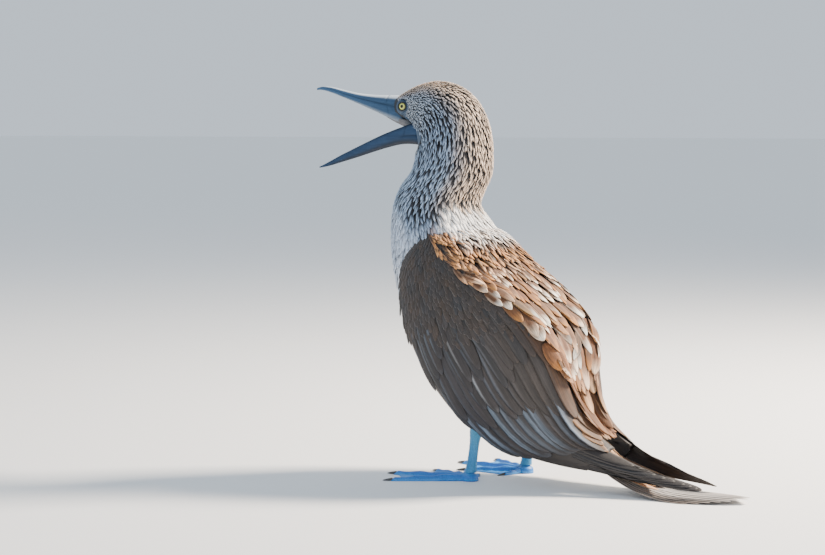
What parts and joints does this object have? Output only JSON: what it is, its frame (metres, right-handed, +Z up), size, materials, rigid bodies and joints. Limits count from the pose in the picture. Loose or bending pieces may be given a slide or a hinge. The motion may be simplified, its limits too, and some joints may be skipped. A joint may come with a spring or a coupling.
{
  "type": "blue-footed booby, life-size still model",
  "caption": "Life-size still model of a blue-footed booby standing upright with its bill open, for display.",
  "frame": {"origin": "on the floor, under the middle of the bird's box", "axes": "+Z up, the bird faces -Y, and its left side is +X"},
  "size_m": [0.1832, 0.5248, 0.4129],
  "materials": {
    "neck_feathers": "pale streaked feathers over dark brown",
    "body_feathers": "brown feathers with pale tips on the back, white on the breast",
    "wing_feathers": "dark grey-brown flight feathers and coverts",
    "tail_feathers": "pale grey tail feathers with darker edges",
    "bill": "slate-blue horn with a soft gloss",
    "eye": "pale yellow iris with a small black pupil, wet gloss",
    "blue_skin": "bright turquoise-blue scaled skin",
    "claw": "dark grey horn"
  },
  "bodies": {
    "root": {"head": "neck_feathers", "neck": "neck_feathers", "torso": "body_feathers", "tail": "tail_feathers", "left_wing": "wing_feathers", "right_wing": "wing_feathers", "upper_bill": "bill", "lower_bill": "bill", "left_eye": "eye", "right_eye": "eye", "left_thigh": "body_feathers", "right_thigh": "body_feathers", "left_tarsus": "blue_skin", "right_tarsus": "blue_skin", "left_foot": "blue_skin", "right_foot": "blue_skin", "left_hind_claw": "claw", "left_inner_claw": "claw", "left_middle_claw": "claw", "left_outer_claw": "claw", "right_hind_claw": "claw", "right_inner_claw": "claw", "right_middle_claw": "claw", "right_outer_claw": "claw"}
  },
  "joints": []
}
